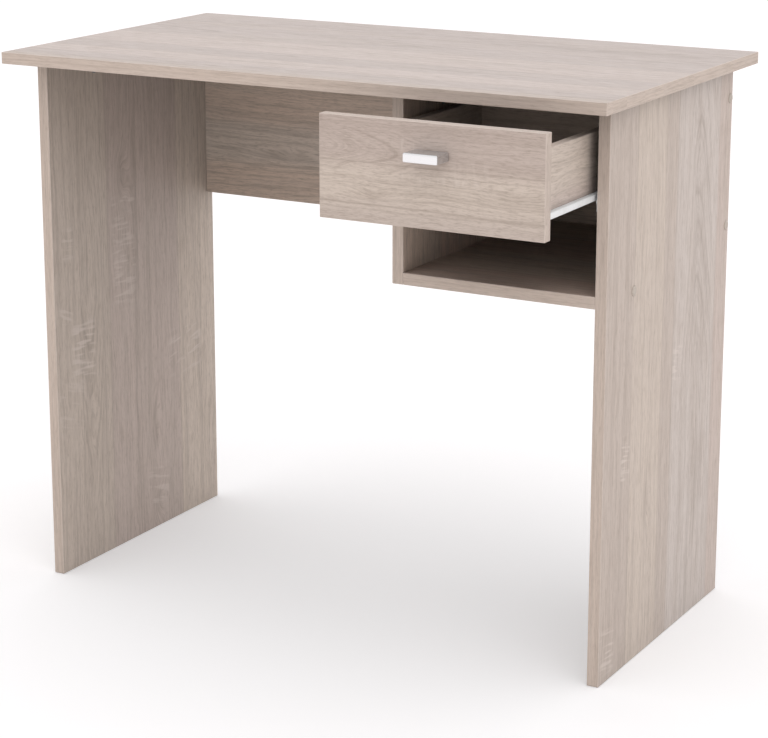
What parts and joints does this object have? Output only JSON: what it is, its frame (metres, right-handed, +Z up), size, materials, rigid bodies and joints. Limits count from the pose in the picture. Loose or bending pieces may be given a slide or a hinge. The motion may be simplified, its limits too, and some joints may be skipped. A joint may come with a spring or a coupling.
{
  "type": "kneehole desk",
  "caption": "Kneehole desk of faced board with full-height panel sides, modesty panel, hanging open compartment and a drawer on roller runners.",
  "frame": {"origin": "on the floor, midway between the sides, and midway in depth between the drawn-out pull's front and the worktop's rear edge", "axes": "+X to the right seen from the front, +Y to the back, +Z up; the drawer draws out along -Y"},
  "size_m": [0.9, 0.6654, 0.766],
  "materials": {
    "faced_board": "matt grey-beige oak decor, fine embossed grain",
    "hardboard": "thin board, oak decor above",
    "beech": "bare fluted beech",
    "runner_paint": "white epoxy coat",
    "roller_nylon": "moulded white nylon",
    "cap_plastic": "moulded, coloured as the board",
    "zinc_plated_steel": "bright zinc plate",
    "cam_alloy": "die-cast, tumbled",
    "handle_chrome": "polished plate"
  },
  "bodies": {
    "carcass": {"top_panel": "faced_board", "left_side_panel": "faced_board", "right_side_panel": "faced_board", "modesty_panel": "faced_board", "compartment_divider": "faced_board", "compartment_shelf": "faced_board", "left_cabinet_runner": "runner_paint", "right_cabinet_runner": "runner_paint", "cabinet_roller_rivets": "zinc_plated_steel", "cabinet_runner_screws": "zinc_plated_steel", "cam_bolts": "zinc_plated_steel", "cam_locks": "cam_alloy", "carcass_screws": "zinc_plated_steel", "cover_caps": "cap_plastic", "wood_dowels": "beech"},
    "drawer": {"drawer_back": "faced_board", "drawer_back_screws": "zinc_plated_steel", "drawer_bottom": "hardboard", "drawer_bottom_screws": "zinc_plated_steel", "drawer_cam_bolts": "zinc_plated_steel", "drawer_cam_locks": "cam_alloy", "drawer_dowels": "beech", "drawer_front": "faced_board", "drawer_handle": "handle_chrome", "drawer_left_side": "faced_board", "drawer_right_side": "faced_board", "drawer_roller_rivets": "zinc_plated_steel", "drawer_runner_screws": "zinc_plated_steel", "handle_screws": "zinc_plated_steel", "left_drawer_runner": "runner_paint", "right_drawer_runner": "runner_paint"},
    "left_cabinet_roller_wheel": {"left_cabinet_roller": "roller_nylon"},
    "right_cabinet_roller_wheel": {"right_cabinet_roller": "roller_nylon"},
    "left_drawer_roller_wheel": {"left_drawer_roller": "roller_nylon"},
    "right_drawer_roller_wheel": {"right_drawer_roller": "roller_nylon"}
  },
  "joints": [
    {"name": "drawer_slide", "type": "slide", "parent": "carcass", "child": "drawer", "axis": [0, -1, 0], "range_m": [-0.166, 0.089]},
    {"name": "left_cabinet_roller_spin", "type": "hinge", "parent": "carcass", "child": "left_cabinet_roller_wheel", "pos_m": [0.1537, -0.09075, 0.6314], "axis": [1, 0, 0], "continuous": true},
    {"name": "left_drawer_roller_spin", "type": "hinge", "parent": "drawer", "child": "left_drawer_roller_wheel", "pos_m": [0.1537, 0.04925, 0.6314], "axis": [1, 0, 0], "continuous": true},
    {"name": "right_cabinet_roller_spin", "type": "hinge", "parent": "carcass", "child": "right_cabinet_roller_wheel", "pos_m": [0.4073, -0.09075, 0.6314], "axis": [1, 0, 0], "continuous": true},
    {"name": "right_drawer_roller_spin", "type": "hinge", "parent": "drawer", "child": "right_drawer_roller_wheel", "pos_m": [0.4073, 0.04925, 0.6314], "axis": [1, 0, 0], "continuous": true}
  ],
  "couplings": [
    {"joint": "left_cabinet_roller_spin", "follows": "drawer_slide", "rad_per_m": 108.7},
    {"joint": "left_drawer_roller_spin", "follows": "drawer_slide", "rad_per_m": 108.7},
    {"joint": "right_cabinet_roller_spin", "follows": "drawer_slide", "rad_per_m": 108.7},
    {"joint": "right_drawer_roller_spin", "follows": "drawer_slide", "rad_per_m": 108.7}
  ]
}
